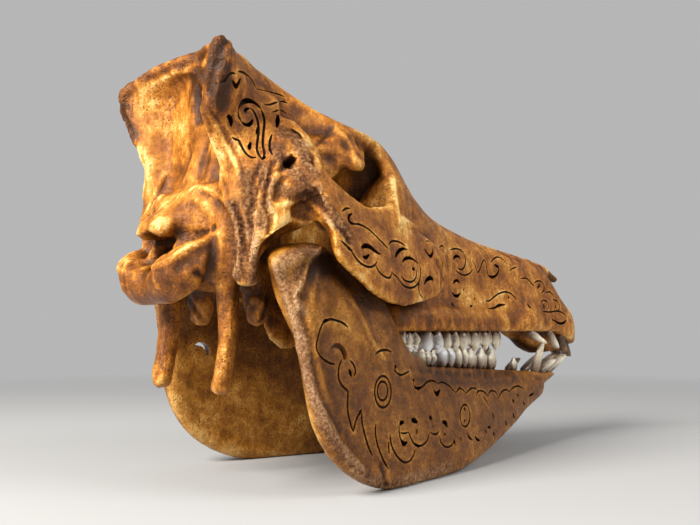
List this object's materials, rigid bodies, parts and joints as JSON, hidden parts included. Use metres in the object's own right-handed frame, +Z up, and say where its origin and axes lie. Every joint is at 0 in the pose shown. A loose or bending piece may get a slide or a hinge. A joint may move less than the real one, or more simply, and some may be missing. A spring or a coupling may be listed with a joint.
{
  "type": "carved wild boar skull",
  "caption": "Wild boar skull with scroll-carved, varnished bone: a cranium with a tall flared crest, a loose lower jaw under it and separate teeth, resting on the jaw's lower borders.",
  "frame": {"origin": "middle of the whole skull's box, on the surface that the lower jaw's borders rest on", "axes": "+X towards the snout, +Y towards the animal's left, +Z up from the resting surface"},
  "size_m": [0.3014, 0.1271, 0.1923],
  "materials": {
    "cranium_bone": "carved bone with an orange-brown varnish, glossy on the ridges, dark in the cuts",
    "jaw_bone": "carved bone with an olive-brown varnish, rough and greyer at its rear border",
    "enamel": "ivory enamel, stained brown at the gum and in the grooves"
  },
  "bodies": {
    "root": {"cranium": "cranium_bone", "lower_left_canine": "enamel", "lower_left_incisor_1": "enamel", "lower_left_incisor_2": "enamel", "lower_left_incisor_3": "enamel", "lower_left_molar_1": "enamel", "lower_left_molar_2": "enamel", "lower_left_molar_3": "enamel", "lower_left_premolar_1": "enamel", "lower_left_premolar_2": "enamel", "lower_left_premolar_3": "enamel", "lower_left_premolar_4": "enamel", "lower_right_canine": "enamel", "lower_right_incisor_1": "enamel", "lower_right_incisor_2": "enamel", "lower_right_incisor_3": "enamel", "lower_right_molar_1": "enamel", "lower_right_molar_2": "enamel", "lower_right_molar_3": "enamel", "lower_right_premolar_1": "enamel", "lower_right_premolar_2": "enamel", "lower_right_premolar_3": "enamel", "lower_right_premolar_4": "enamel", "mandible": "jaw_bone", "upper_left_canine": "enamel", "upper_left_incisor_1": "enamel", "upper_left_incisor_2": "enamel", "upper_left_incisor_3": "enamel", "upper_left_molar_1": "enamel", "upper_left_molar_2": "enamel", "upper_left_molar_3": "enamel", "upper_left_premolar_1": "enamel", "upper_left_premolar_2": "enamel", "upper_left_premolar_3": "enamel", "upper_left_premolar_4": "enamel", "upper_right_canine": "enamel", "upper_right_incisor_1": "enamel", "upper_right_incisor_2": "enamel", "upper_right_incisor_3": "enamel", "upper_right_molar_1": "enamel", "upper_right_molar_2": "enamel", "upper_right_molar_3": "enamel", "upper_right_premolar_1": "enamel", "upper_right_premolar_2": "enamel", "upper_right_premolar_3": "enamel", "upper_right_premolar_4": "enamel"}
  },
  "joints": []
}
